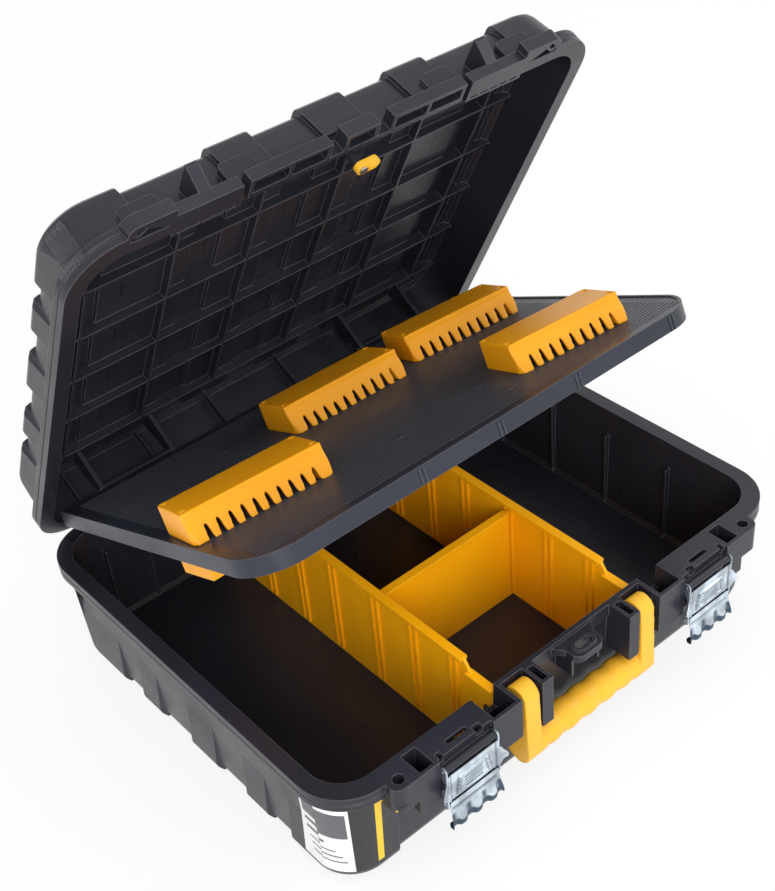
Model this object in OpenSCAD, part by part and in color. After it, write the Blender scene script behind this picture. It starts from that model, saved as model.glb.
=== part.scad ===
// Hard tool case with a bottom tray, a hinged lid, a fold-down tool panel, a carry handle and two draw latches.
// It stands on its underside at z = 0 with the latches towards -Y. The lid is drawn part open, handle hanging.

/* [Case] */
// Width over the rim
case_width = 480; // [476:1:500]
// Depth over the rim
case_depth = 396; // [392:1:410]
// Height of the bottom tray up to its rim
base_height = 106; // [104:1:112]
// Height of the lid above its rim
lid_height = 52; // [50:1:60]
// Corner radius of the rim
corner_radius = 42; // [34:1:50]
// Thickness of the moulded walls
wall = 3; // [2.5:0.1:3.5]
// Height of the band round each rim
band_height = 12; // [10:1:14]
// How far the raised wall pads stand out
pad_depth = 3.5; // [2:0.5:4.5]
// Angle the lid is opened to
lid_open = 61.4; // [40:0.1:75]

/* [Hinge] */
// Radius of the moulded hinge knuckles
knuckle_radius = 4.5; // [4:0.1:5]
// Radius of the steel hinge pins
hinge_pin_radius = 1.5; // [1.2:0.1:2]

/* [Tool panel] */
// Width of the tool panel
panel_width = 442; // [430:1:444]
// Length of the tool panel from its pivot to its front edge
panel_length = 329; // [318:1:331]
// Radius of the panel's front corners
panel_corner = 38; // [30:1:48]
// Depth of the panel's skirt below its top face
skirt_depth = 13; // [10:0.5:14]
// Angle between the lid and the panel when the lid stands open
panel_drop = 38.1; // [30:0.1:42]

/* [Tool holders] */
// Height of the holders on top of the panel
holder_height = 24; // [20:1:26]
// Height of the holders under the panel
under_holder_height = 28; // [22:1:30]
// Width of one slot in a holder's comb
comb_slot = 2.6; // [1.8:0.1:3.4]

/* [Dividers] */
// Distance of the long dividers from the middle
divider_x = 75; // [68:1:76]
// Distance of the cross divider from the front rim
cross_divider_y = 152; // [130:1:180]
// Thickness of a divider
divider_thickness = 2.6; // [2:0.1:3.2]

/* [Handle] */
// Diameter of the grip bar
grip_diameter = 26; // [22:1:27]
// Drop of the grip axis below the handle pivot
handle_drop = 55.5; // [50:0.5:60]
// Width of one handle arm
arm_width = 15; // [12:0.5:16]
// Radius of the handle's pivot pins
handle_pin_radius = 3; // [2.5:0.1:3.5]

/* [Latches] */
// Width of a latch over its cheeks
latch_width = 51.4; // [46:0.2:51.6]
// Distance between the two pivots of a latch link
link_length = 35; // [33:0.5:36]
// Thickness of the latch sheet metal
latch_sheet = 1.2; // [1:0.1:1.3]
// Radius of the latch pins
latch_pin_radius = 1.5; // [1.2:0.1:1.7]

/* [Hidden] */
$fn = 48;

black = [0.13, 0.13, 0.14];
amber = [0.95, 0.62, 0.05];
smoke = [0.19, 0.20, 0.23];
zinc = [0.78, 0.80, 0.82];
steel = [0.6, 0.6, 0.62];

eps = 0.01;
// Clearances: between the closed rims, of a running bore, of a fixed bore
rim_gap = 0.3;
run_fit = 0.06;
fixed_fit = 0.02;

// Rim and hinge lines
side_x = case_width / 2;
front_y = -case_depth / 2;
back_y = case_depth / 2;
hinge_y = back_y + rim_gap;
hinge_z = base_height + rim_gap / 2;
lid_z = base_height + rim_gap;
hinge_x = [-150, 0, 150];
lid_knuckle_half = 12;
base_knuckle_end = 30;

// Wall lines of both shells, measured inwards from the rim
side_step = 10;
front_step = 12;
back_step = 9;
draft_side = 3;
draft_front = 5.5;
draft_back = 4;
edge_radius = 8;
lip = 2.5;
wall_front = front_y + front_step;

// Lid heights above its rim plane
lid_body = lid_height - pad_depth;
lid_ceiling = lid_z + lid_body - wall;
rib_drop = 7.5;
rib_thickness = 2;

// Lid ribs, as distances from the middle and from the hinge line
lid_columns = [40, 116, 193];
lid_rows = [51.5, 111, 170, 229, 288];

// Raised pads along both sides, as shares of the depth, with a slanted front end and a level where they start
pad_shares = [[-0.1, 0.2], [0.29, 0.343], [0.457, 0.53], [0.657, 0.708], [0.798, 1.1]];
pad_slant = 9;
pad_level = 60;
lid_pad_level = 16;

// Raised pads across the lid and on the back of the tray, as distances from the middle
lid_top_pads = [[-216, -172], [-98, -64], [-19, 19], [64, 98], [172, 216]];
base_back_pads = [[-250, -175], [-100, -50], [50, 100], [175, 250]];

// Front features, as distances from the middle and from the front rim
band_front = front_y - 12;
housing_front = front_y - 9;
bulge_back = wall_front + 2;
bulge_floor = base_height - 38;
housing_floor = base_height - 34;
pocket_x = [75, 104];
latch_x = [104, 156];
bay_x = [156, 176];
ear_x = [175, 196];
ear_hole = [186, -2.5];
ear_radius = 8;
post_x = [42, 53];

// Front of the lid: raised plates, slotted ledge, low ear, hollow bar and centre block
plate_front = front_y + 8.5;
plate_height = 30;
plate_x = [[78, 105], [155, 186]];
ledge_x = [104, 160];
ledge_front = front_y - 2;
ledge_back = front_y + 19.3;
ledge_height = 9.5;
ledge_slots = 5;
ear_front = front_y - 8.7;
ear_height = 11;
bar_x = [28, 98];
bar_front = front_y - 3;
bar_height = 10;
centre_half = 15;

// Handle
handle_y = front_y;
handle_z = base_height - 10.5;
hub_radius = 10.4;
arm_mid = 63;
grip_half = 72;

// Latches
latch_mid = 130;
latch_y = front_y - 13.5;
latch_z = base_height - 9.5;
curl_radius = latch_pin_radius + 1.8;
plate_in = 2.7;
cheek_radius = 4.2;
cheek_x = latch_width / 2 - latch_sheet;
base_half = cheek_x - 0.8;
claw_half = 14;
claw_reach = 5.5;
keeper_half = 5;
keeper_front = latch_y + curl_radius + rim_gap;
keeper_top = latch_z + link_length + plate_in;

// Tool panel, drawn level in the closed lid
pivot_y = hinge_y - 37.9;
pivot_z = lid_z + 3.1;
panel_top = lid_z + 4.7;
panel_sheet = 3;
panel_front = pivot_y - panel_length;
panel_back = pivot_y - 6;
barrel_radius = 4;
panel_pin_radius = 1.5;
bracket_x = [105, 180];
ear_sheet = 3;

// Turn-catch, an oval turned about a point near one end
catch_pivot = [-5.5, front_y + 21.3];
catch_length = 21;
catch_width = 10;
catch_thick = 5;
catch_top = panel_top - skirt_depth - rim_gap;
catch_post = 3.6;
catch_screw_radius = 1.6;
catch_head = 1.6;

// Holders: middle [x, distance from the panel pivot], length, turn about the upright
holder_depth = 46;
holder_flare = 8;
holder_sheet = 3;
comb_pitch = 10;
place_a = [-156, 218, 118, -6];
place_b = [1, 110, 116, -2];
place_c = [139, 104, 112, -8];
place_d = [125, 257, 108, -8];
place_u1 = [-156, 212, 112, 0];
place_u2 = [139, 240, 108, 0];
screw_radius = 1.8;
screw_head = 1.6;

// Dividers
divider_floor = wall;
divider_top = base_height - 1;
divider_step = base_height - 12;
step_y = front_y + 42;
bead = 2.4;

// Rounded rectangle in plan from its half width and its front and back lines
module rounded_plan(side, front, back, radius) {
  translate([-side + radius, front])
    square([2 * (side - radius), back - front]);
  translate([-side, front + radius])
    square([2 * side, back - front - 2 * radius]);
  for (x = [-1, 1], y = [front + radius, back - radius])
    translate([x * (side - radius), y])
      circle(radius);
}

// Slice of the shell plan at a rim or floor level; grow moves it outwards, share is 0 at the rim and 1 at the end
module shell_slice(grow, share) {
  linear_extrude(0.1)
    rounded_plan(side_x - side_step - draft_side * share + grow, wall_front + draft_front * share - grow,
                 back_y - back_step - draft_back * share + grow, corner_radius - 10 + grow * 0.5);
}

// Drafted tray block with a rounded lower edge, used upright for the tray and flipped for the lid
module shell_block(grow, height, deep) {
  hull() {
    translate([0, 0, height - 0.1])
      shell_slice(grow, 0);
    for (a = [0, 30, 60, 90])
      translate([0, 0, edge_radius * (1 - sin(a)) - deep])
        shell_slice(grow - edge_radius * (1 - cos(a)), 1);
  }
}

// Rectangular ring in plan between the rim line and a line inside it
module rim_ring(outer, inner) {
  difference() {
    rounded_plan(side_x + outer, front_y - outer, back_y + outer, corner_radius + outer);
    rounded_plan(side_x - inner, front_y + inner, back_y - inner, corner_radius - inner);
  }
}

// Band round a rim with a lip, a hollow behind the lip and a groove in its face; z = 0 is the rim plane
module rim_band() {
  difference() {
    translate([0, 0, -band_height])
      linear_extrude(band_height)
        rounded_plan(side_x, front_y, back_y, corner_radius);
    translate([0, 0, -band_height - 1])
      linear_extrude(band_height + 1 - wall)
        rim_ring(-lip, side_step - 0.5);
    translate([0, 0, -band_height * 0.6])
      linear_extrude(1.6)
        rim_ring(2, 0.9);
  }
}

module both_sides() {
  children();
  mirror([1, 0, 0])
    children();
}

// Obround slot or bar in plan
module obround(length, width) {
  square([length - width, width], center = true);
  for (x = [-1, 1])
    translate([x * (length - width) / 2, 0])
      circle(width / 2);
}

// Box from its low corner to its high corner
module block(low, high) {
  translate(low)
    cube(high - low);
}

// Raised pads along both sides: a plan with slanted front ends, cut by an upright wedge that is flush at a level
module side_pads(flush, full) {
  root = side_x - side_step - draft_side;
  intersection() {
    union()
      for (s = pad_shares)
        both_sides()
          translate([0, 0, min(flush, full)])
            linear_extrude(abs(full - flush))
              polygon([[root - 11, front_y + s[0] * case_depth - pad_slant], [root, front_y + s[0] * case_depth - pad_slant],
                       [root + draft_side + pad_depth, front_y + s[0] * case_depth],
                       [root + 20, front_y + s[0] * case_depth], [root + 20, front_y + s[1] * case_depth],
                       [root - 11, front_y + s[1] * case_depth]]);
    both_sides()
      translate([0, back_y + 5, 0])
        rotate([90, 0, 0])
          linear_extrude(case_depth + 10)
            polygon([[root - 12, flush], [root + 1, flush], [root + pad_depth, full], [root - 12, full]]);
  }
}

// ---- Bottom tray ----

module base_pads() {
  intersection() {
    shell_block(pad_depth, base_height, 0);
    union() {
      side_pads(pad_level, 0);
      both_sides()
        block([ear_x[0] + 4, front_y - 5, 2], [side_x + 10, front_y + 40, base_height - band_height - 6]);
      for (p = base_back_pads)
        block([p[0], back_y - 30, 2], [p[1], back_y + 5, base_height - band_height - 6]);
    }
  }
}

// Outside of the projecting front band on the right-hand side
module front_band() {
  block([pocket_x[0], band_front, bulge_floor], [pocket_x[1], bulge_back, base_height]);
  block([latch_x[0], housing_front, housing_floor], [latch_x[1], bulge_back, base_height]);
  block([bay_x[0], band_front, bulge_floor], [bay_x[1] + eps, bulge_back, base_height]);
  block([ear_x[0], band_front, base_height - 24], [ear_x[1] - ear_radius, bulge_back, base_height]);
  block([ear_x[0], band_front + ear_radius, base_height - 24], [ear_x[1], bulge_back, base_height]);
  translate([ear_x[1] - ear_radius, band_front + ear_radius, base_height - 24])
    cylinder(h = 24, r = ear_radius);
  block([post_x[0], front_y - 11, base_height - 46], [post_x[1], bulge_back, base_height]);
}

// Hollows of the front band
module front_hollows() {
  block([pocket_x[0] + wall, band_front + wall, bulge_floor + wall], [pocket_x[1] - wall, wall_front, base_height + 1]);
  block([pocket_x[0] + wall, wall_front - 1, base_height - 23], [pocket_x[1] - wall, wall_front + 12, base_height + 1]);
  block([latch_x[0] + wall, housing_front + wall, housing_floor + wall], [latch_x[1] - wall, wall_front + 12, base_height - 4]);
  block([bay_x[0] + wall, band_front + wall, bulge_floor + wall], [bay_x[1] - 4, wall_front - 1, base_height + 1]);
  block([post_x[0] + 2.5, front_y - 8, base_height - 30], [post_x[1] - 2.5, front_y + 8, base_height + 1]);
  translate([latch_mid + 1, front_y - 1.7, base_height - 10])
    linear_extrude(12)
      obround(20, 4);
  block([latch_x[0] + 8, housing_front - 1, base_height - 5], [latch_x[0] + 15, front_y - 4, base_height + 1]);
  block([latch_x[1] - 6, housing_front - 1, base_height - 5], [latch_x[1] - 2, front_y - 4, base_height + 1]);
  translate([ear_hole[0], front_y + ear_hole[1], base_height - 30])
    cylinder(h = 40, r = 4.5);
  translate([post_x[1] - 3, handle_y, handle_z])
    rotate([0, 90, 0])
      cylinder(h = pocket_x[0] + wall - post_x[1] + 4, r = handle_pin_radius + fixed_fit);
  for (x = [-12, 12])
    translate([latch_mid + x, housing_front - 1, latch_z - 16])
      rotate([-90, 0, 0])
        cylinder(h = wall + 2, r = 2 + fixed_fit);
}

// Shelf in the middle of the front with an oval eye for a padlock
module centre_shelf() {
  difference() {
    union() {
      translate([0, 0, base_height - 9])
        linear_extrude(6)
          polygon([[-24, bulge_back], [-15, front_y + 2], [-15, front_y - 6], [15, front_y - 6],
                   [15, front_y + 2], [24, bulge_back]]);
      translate([0, front_y - 4, base_height - 9])
        linear_extrude(6)
          obround(30, 14);
      translate([0, front_y - 2, base_height - 9])
        linear_extrude(8)
          obround(22, 12);
      both_sides()
        block([13, front_y - 4, base_height - 26], [15, bulge_back, base_height - 3]);
    }
    translate([0, front_y - 2, base_height - 20])
      linear_extrude(30)
        obround(16, 6);
  }
}

// Moulded knuckles for each hinge, one span list per shell
module knuckle(x, length, grow) {
  translate([x, hinge_y, hinge_z])
    rotate([0, 90, 0])
      cylinder(h = length, r = knuckle_radius + grow);
}

module base_knuckles(grow, slack) {
  for (x = hinge_x, s = [-1, 1])
    knuckle(x + (s > 0 ? lid_knuckle_half + rim_gap - slack : -base_knuckle_end - slack),
            base_knuckle_end - lid_knuckle_half - rim_gap + 2 * slack, grow);
}

module lid_knuckles(grow, slack) {
  for (x = hinge_x)
    knuckle(x - lid_knuckle_half - slack, 2 * (lid_knuckle_half + slack), grow);
}

module hinge_bores(radius) {
  for (x = hinge_x)
    translate([x - base_knuckle_end - 1, hinge_y, hinge_z])
      rotate([0, 90, 0])
        cylinder(h = 2 * base_knuckle_end + 2, r = radius);
}

// Guide ribs that hold the ends of the long dividers
module divider_guides() {
  gap = divider_thickness / 2 + 0.3;
  for (x = [-divider_x, divider_x], s = [-1, 1])
    translate([x + s * (gap + 1) - 1, 0, wall - 1]) {
      block([0, wall_front + 2, 0], [2, wall_front + draft_front + wall + 6, base_height - 34]);
      block([0, back_y - back_step - draft_back - wall - 6, 0], [2, back_y - back_step - 2, base_height - 26]);
    }
}

// Upright stiffening ribs on the inside of the side and back walls
module wall_ribs() {
  for (s = [0.27, 0.45, 0.62, 0.795])
    both_sides()
      block([side_x - side_step - draft_side - wall - 3, front_y + s * case_depth - 1, wall - 1],
            [side_x - side_step - 1, front_y + s * case_depth + 1, base_height - 26]);
  for (x = [110, 150, 190])
    both_sides()
      block([x - 1, back_y - back_step - draft_back - wall - 3, wall - 1],
            [x + 1, back_y - back_step - 1, base_height - 26]);
}

module bottom_shell() {
  color(black)
    difference() {
      union() {
        difference() {
          union() {
            shell_block(0, base_height, 0);
            base_pads();
            difference() {
              translate([0, 0, base_height])
                rim_band();
              block([-pocket_x[0] - 1, front_y - 1, base_height - 20], [pocket_x[0] + 1, wall_front - 1, base_height + 1]);
            }
            both_sides()
              front_band();
            centre_shelf();
          }
          hull() {
            translate([0, 0, wall])
              shell_slice(-wall - 3, 1);
            translate([0, 0, wall + 3])
              shell_slice(-wall, 1);
            translate([0, 0, base_height + 1])
              shell_slice(-wall, 0);
          }
          both_sides()
            front_hollows();
          lid_knuckles(0.5, rim_gap);
        }
        intersection() {
          union() {
            divider_guides();
            wall_ribs();
          }
          shell_block(-1, base_height, 0);
        }
        base_knuckles(0, 0);
      }
      hinge_bores(hinge_pin_radius + fixed_fit);
    }
}

// ---- Lid, modelled shut and turned open ----

module lid_pose() {
  translate([0, hinge_y, hinge_z])
    rotate([-lid_open, 0, 0])
      translate([0, -hinge_y, -hinge_z])
        children();
}

// The shell block turned over, with its rim on the lid's rim plane
module lid_block(grow, up) {
  translate([0, 0, lid_z])
    mirror([0, 0, 1])
      translate([0, 0, -lid_body])
        shell_block(grow, lid_body, up);
}

module lid_pads() {
  intersection() {
    lid_block(pad_depth, pad_depth);
    union() {
      side_pads(lid_z + lid_pad_level, lid_z + lid_height + 1);
      for (p = lid_top_pads)
        block([p[0], front_y - 5, lid_z + band_height + 5], [p[1], back_y + 5, lid_z + lid_height + 1]);
    }
  }
}

// Flat tab with two rounded upper corners, drawn upright in the X-Z plane between two Y values
module tab(span, height, radius, front, back) {
  translate([0, back, lid_z])
    rotate([90, 0, 0])
      linear_extrude(back - front) {
        translate([span[0], 0])
          square([span[1] - span[0], height - radius]);
        translate([span[0] + radius, 0])
          square([span[1] - span[0] - 2 * radius, height]);
        for (x = [span[0] + radius, span[1] - radius])
          translate([x, height - radius])
            circle(radius);
      }
}

// Outside of the lid's front on the right-hand side
module lid_band() {
  for (p = plate_x)
    tab(p, plate_height, 5, plate_front, wall_front + wall + 1.5);
  block([ledge_x[0], ledge_front, lid_z], [ledge_x[1], wall_front + wall, lid_z + ledge_height]);
  block([bar_x[0], bar_front, lid_z], [bar_x[1], wall_front + wall, lid_z + bar_height]);
  block([ledge_x[1] - 2, ear_front, lid_z], [ear_x[1] - ear_radius, wall_front + wall, lid_z + ear_height]);
  block([ledge_x[1] - 2, ear_front + ear_radius, lid_z], [ear_x[1], wall_front + wall, lid_z + ear_height]);
  translate([ear_x[1] - ear_radius, ear_front + ear_radius, lid_z])
    cylinder(h = ear_height, r = ear_radius);
  translate([latch_mid - keeper_half, 0, 0])
    rotate([90, 0, 90])
      linear_extrude(2 * keeper_half)
        polygon([[keeper_front, keeper_top], [keeper_front, keeper_top - 3], [ledge_front, lid_z + ledge_height - 1],
                 [wall_front + wall, lid_z + ledge_height - 1], [wall_front + wall + 1.5, keeper_top]]);
}

module lid_hollows() {
  window = (bar_x[1] - bar_x[0] - 3 * wall) / 2;
  for (x = [bar_x[0] + wall, bar_x[0] + 2 * wall + window])
    block([x, bar_front + wall, lid_z - 1], [x + window, wall_front - 1, lid_z + bar_height - wall]);
  block([bar_x[1], wall_front - 4, lid_z - 1], [ledge_x[0], wall_front + 14, lid_z + ledge_height - 2]);
  translate([0, 0, lid_z - 1])
    linear_extrude(ear_height - wall + 1)
      polygon([[ledge_x[1] + 3, front_y + 5], [ear_x[1] - 3, front_y + 5], [ear_x[1] - 4, ear_front + 8],
               [ear_x[1] - 9, ear_front + 3]]);
}

// Oval eye through the ear, on a raised boss
module ear_eye(grow) {
  translate([ear_hole[0], front_y + ear_hole[1], lid_z])
    rotate([0, 0, 40])
      linear_extrude(ear_height - 1 + grow)
        obround(8 + 2 * grow, 4 + 2 * grow);
}

// Inner half of the ledge at the lid's front, with a row of slots in its rim face
module lid_ledge() {
  pitch = (ledge_x[1] - ledge_x[0] - 6) / ledge_slots;
  difference() {
    block([ledge_x[0], wall_front + 1, lid_z], [ledge_x[1], ledge_back, lid_z + ledge_height]);
    for (i = [0:ledge_slots - 1])
      block([ledge_x[0] + 4 + pitch * i, wall_front + 3.2, lid_z - 1],
            [ledge_x[0] + 2 + pitch * (i + 1), ledge_back - 2, lid_z + ledge_height - 2.5]);
  }
}

// Grid of stiffening ribs on the inside of the lid, and upright ribs on its back wall
module lid_ribs() {
  side = side_x - side_step - draft_side - 1;
  top = lid_ceiling + pad_depth + 1;
  for (d = lid_rows)
    block([-side, hinge_y - d - rib_thickness / 2, lid_ceiling - rib_drop], [side, hinge_y - d + rib_thickness / 2, top]);
  both_sides()
    for (x = lid_columns) {
      block([x - rib_thickness / 2, wall_front + 4, lid_ceiling - rib_drop],
            [x + rib_thickness / 2, hinge_y - lid_rows[0], top]);
      block([x - rib_thickness / 2, back_y - back_step - draft_back - wall - 7, lid_z + 8],
            [x + rib_thickness / 2, back_y - back_step - 2, top]);
    }
}

module lid_shell() {
  color(black)
    lid_pose()
      difference() {
        union() {
          difference() {
            union() {
              lid_block(0, 0);
              lid_pads();
              difference() {
                translate([0, 0, lid_z])
                  mirror([0, 0, 1])
                    rim_band();
                block([-ledge_x[1] - 2, front_y - 1, lid_z - 1], [ledge_x[1] + 2, wall_front - 1, lid_z + band_height + 1]);
              }
              both_sides()
                lid_band();
              block([-centre_half, bar_front, lid_z], [centre_half, wall_front + wall, lid_z + 12]);
            }
            hull() {
              translate([0, 0, lid_ceiling - 0.1])
                shell_slice(-wall - 4, 1);
              translate([0, 0, lid_ceiling - 4])
                shell_slice(-wall, 1);
              translate([0, 0, lid_z - 1])
                shell_slice(-wall, 0);
            }
            both_sides()
              lid_hollows();
            block([wall - centre_half, bar_front + wall, lid_z - 1], [centre_half - wall, wall_front - 1, lid_z + 9]);
            for (p = lid_top_pads)
              block([p[0] + wall, wall_front + 17, lid_ceiling - 1], [p[1] - wall, back_y - 23, lid_ceiling + pad_depth]);
            base_knuckles(0.5, rim_gap);
          }
          both_sides() {
            lid_ledge();
            ear_eye(2.2);
          }
          intersection() {
            lid_ribs();
            lid_block(-1, 0);
          }
          lid_knuckles(0, 0);
          translate([catch_pivot[0], catch_pivot[1], catch_top + 0.1])
            cylinder(h = lid_ceiling - catch_top + 1, r = catch_post);
        }
        both_sides()
          translate([0, 0, -1])
            ear_eye(0);
        hinge_bores(hinge_pin_radius + run_fit);
        translate([catch_pivot[0], catch_pivot[1], catch_top - 1])
          cylinder(h = 14, r = catch_screw_radius + fixed_fit);
      }
}

module hinge_pins() {
  color(steel)
    for (x = hinge_x)
      translate([x - base_knuckle_end + 0.5, hinge_y, hinge_z])
        rotate([0, 90, 0])
          cylinder(h = 2 * base_knuckle_end - 1, r = hinge_pin_radius);
}

// ---- Tool panel, modelled level in the shut lid ----

module panel_pose() {
  lid_pose()
    translate([0, pivot_y, pivot_z])
      rotate([panel_drop, 0, 0])
        translate([0, -pivot_y, -pivot_z])
          children();
}

// Plan of the panel with large front corners; inset moves its front and sides inwards
module panel_plan(inset, back = panel_back) {
  side = panel_width / 2 - inset;
  front = panel_front + inset;
  corner = panel_corner - inset;
  translate([-side, front + corner])
    square([2 * side, back - front - corner]);
  translate([-side + corner, front])
    square([2 * (side - corner), corner + 1]);
  for (x = [-1, 1])
    translate([x * (side - corner), front + corner])
      circle(corner);
}

module panel_skirt() {
  translate([0, 0, panel_top - skirt_depth])
    linear_extrude(skirt_depth + 1)
      difference() {
        panel_plan(0);
        panel_plan(lip, panel_back + 1);
      }
}

module tool_panel() {
  color(smoke)
    panel_pose()
      difference() {
        union() {
          translate([0, 0, panel_top - panel_sheet])
            linear_extrude(panel_sheet)
              panel_plan(0);
          panel_skirt();
          for (x = [-62, -30, 30, 62])
            block([x - 1, panel_front + 20, panel_top - panel_sheet - 4], [x + 1, panel_back, panel_top - 1]);
          both_sides() {
            translate([bracket_x[0] + ear_sheet + 0.3, pivot_y, pivot_z])
              rotate([0, 90, 0])
                cylinder(h = bracket_x[1] - bracket_x[0] - 2 * ear_sheet - 0.6, r = barrel_radius);
            block([bracket_x[0] + ear_sheet + 0.3, panel_back - 3, panel_top - panel_sheet],
                  [bracket_x[1] - ear_sheet - 0.3, pivot_y, panel_top]);
          }
          for (p = [[-98, 52], [-96, 81], [45, 251], [44, 289], [-43, 259], [-68, 212]])
            translate([p[0], pivot_y - p[1], panel_top - 1])
              cylinder(h = 2, r = 3);
        }
        both_sides()
          translate([bracket_x[0], pivot_y, pivot_z])
            rotate([0, 90, 0])
              cylinder(h = bracket_x[1] - bracket_x[0], r = panel_pin_radius + run_fit);
        at_holder_screws()
          translate([0, 0, -1])
            cylinder(h = panel_sheet + 2, r = screw_radius + fixed_fit, $fn = 24);
      }
}

// Brackets on the lid's ceiling that carry the panel's pins
module panel_brackets() {
  plate_z = lid_ceiling - 2.5;
  color(black)
    lid_pose()
      both_sides()
        difference() {
          union() {
            block([bracket_x[0] - 5, pivot_y - 12, plate_z], [bracket_x[1] + 5, pivot_y + 12, lid_ceiling]);
            for (x = [bracket_x[0], bracket_x[1] - ear_sheet])
              translate([x, 0, 0])
                rotate([90, 0, 90])
                  linear_extrude(ear_sheet) {
                    translate([pivot_y, pivot_z])
                      circle(5);
                    polygon([[pivot_y - 5, pivot_z], [pivot_y + 5, pivot_z], [pivot_y + 11, plate_z + 1],
                             [pivot_y - 11, plate_z + 1]]);
                  }
          }
          translate([bracket_x[0] - 1, pivot_y, pivot_z])
            rotate([0, 90, 0])
              cylinder(h = bracket_x[1] - bracket_x[0] + 2, r = panel_pin_radius + fixed_fit);
        }
}

module panel_pins() {
  color(steel)
    lid_pose()
      both_sides()
        translate([bracket_x[0] - 1, pivot_y, pivot_z])
          rotate([0, 90, 0])
            cylinder(h = bracket_x[1] - bracket_x[0] + 2, r = panel_pin_radius);
}

// ---- Tool holders ----

// Side profile of a holder: level top, upright back and a front that flares out towards its foot
module holder_profile(height, inset) {
  half = holder_depth / 2 - inset;
  foot = inset > 0 ? -1 : 0;
  polygon([[-half - holder_flare, foot], [-half - 3, height * 0.5], [-half, height * 0.75], [-half + 0.5, height - inset],
           [half, height - inset], [half + 1.5, foot]]);
}

// Hollow box with a row of flared slots in the foot of its front face and pocketed corners
module holder(length, height) {
  half = holder_depth / 2;
  end = length / 2;
  slots = floor((length - 20) / comb_pitch);
  difference() {
    intersection() {
      translate([-end, 0, 0])
        rotate([90, 0, 90])
          linear_extrude(length)
            holder_profile(height, 0);
      linear_extrude(height)
        polygon([[-end, half - 2], [-end + 4, half + 2], [end - 4, half + 2], [end, half - 2], [end, -half - 3],
                 [end - 3, -half - holder_flare], [-end + 3, -half - holder_flare], [-end, -half - 3]]);
    }
    translate([-end + 12, 0, 0])
      rotate([90, 0, 90])
        linear_extrude(length - 24)
          holder_profile(height, holder_sheet);
    for (i = [0:slots])
      translate([(i - slots / 2) * comb_pitch, -half + 5, 0])
        rotate([90, 0, 0])
          linear_extrude(holder_flare + 8)
            polygon([[-comb_slot / 2 - 1, -1], [comb_slot / 2 + 1, -1], [comb_slot / 2 - 0.4, height * 0.45],
                     [0, height * 0.52], [-comb_slot / 2 + 0.4, height * 0.45]]);
    for (x = [-1, 1]) {
      translate([x * (end - 7), -2, -1])
        cylinder(h = 12, r = screw_radius + fixed_fit, $fn = 24);
      for (y = [-half + 6, half - 6])
        translate([x * (end - 4), y, height - 2])
          linear_extrude(3)
            square([4, 5], center = true);
    }
  }
}

// Moves a holder onto the panel's top face
module on_panel(place) {
  panel_pose()
    translate([place[0], pivot_y - place[1], panel_top])
      rotate([0, 0, place[3]])
        children();
}

// Holder hung from the panel's underside, with room for the screw heads of the holders above
module under_holder(place) {
  panel_pose()
    difference() {
      translate([place[0], pivot_y - place[1], panel_top - panel_sheet])
        rotate([0, 0, place[3]])
          mirror([0, 0, 1])
            holder(place[2], under_holder_height);
      at_holder_screws()
        translate([0, 0, -screw_head - 1])
          cylinder(h = screw_head + 1, r = 4.2);
    }
}

// Puts children on the panel's underside at each screw of the upper holders
module at_holder_screws() {
  for (p = [place_a, place_b, place_c, place_d], x = [-1, 1])
    translate([p[0], pivot_y - p[1], panel_top - panel_sheet])
      rotate([0, 0, p[3]])
        translate([x * (p[2] / 2 - 7), -2, 0])
          children();
}

module holder_screws() {
  color(steel)
    panel_pose()
      at_holder_screws() {
        cylinder(h = panel_sheet + 10, r = screw_radius, $fn = 24);
        translate([0, 0, -screw_head])
          cylinder(h = screw_head, r = 3.4, $fn = 24);
      }
}

module holder_a() {
  color(amber)
    on_panel(place_a)
      holder(place_a[2], holder_height);
}

module holder_b() {
  color(amber)
    on_panel(place_b)
      holder(place_b[2], holder_height);
}

module holder_c() {
  color(amber)
    on_panel(place_c)
      holder(place_c[2], holder_height);
}

module holder_d() {
  color(amber)
    on_panel(place_d)
      holder(place_d[2], holder_height);
}

module under_holder_left() {
  color(amber)
    under_holder(place_u1);
}

module under_holder_right() {
  color(amber)
    under_holder(place_u2);
}

// ---- Dividers ----

// Long divider standing at x = 0, front end stepped down under the panel's skirt
module long_divider() {
  front_low = wall_front + draft_front + wall + 0.5;
  front_high = wall_front + wall + 1.2;
  back_low = back_y - back_step - draft_back - wall - 0.5;
  back_high = back_y - back_step - wall - 0.6;
  translate([-divider_thickness / 2, 0, 0])
    rotate([90, 0, 90])
      linear_extrude(divider_thickness)
        polygon([[front_low + 3, divider_floor], [front_low, divider_floor + 4], [front_high, divider_step],
                 [step_y, divider_step], [step_y + 8, divider_top], [back_high, divider_top],
                 [back_low, divider_floor + 4], [back_low - 3, divider_floor]]);
  block([-divider_thickness / 2 - bead, step_y + 8, divider_top - 3],
        [divider_thickness / 2 + bead, back_high, divider_top]);
  block([-divider_thickness / 2 - bead, front_high + 2, divider_step - 3],
        [divider_thickness / 2 + bead, step_y + 4, divider_step]);
  for (y = [front_y + 60, front_y + 106, front_y + cross_divider_y, front_y + 206, front_y + 252, front_y + 300],
       s = [-1, 1])
    block([-divider_thickness / 2 - 2, y + s * 3.4 - 1, divider_floor + 4],
          [divider_thickness / 2 + 2, y + s * 3.4 + 1, divider_top - 2]);
}

module divider_left() {
  color(amber)
    translate([-divider_x, 0, 0])
      long_divider();
}

module divider_right() {
  color(amber)
    translate([divider_x, 0, 0])
      long_divider();
}

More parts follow.
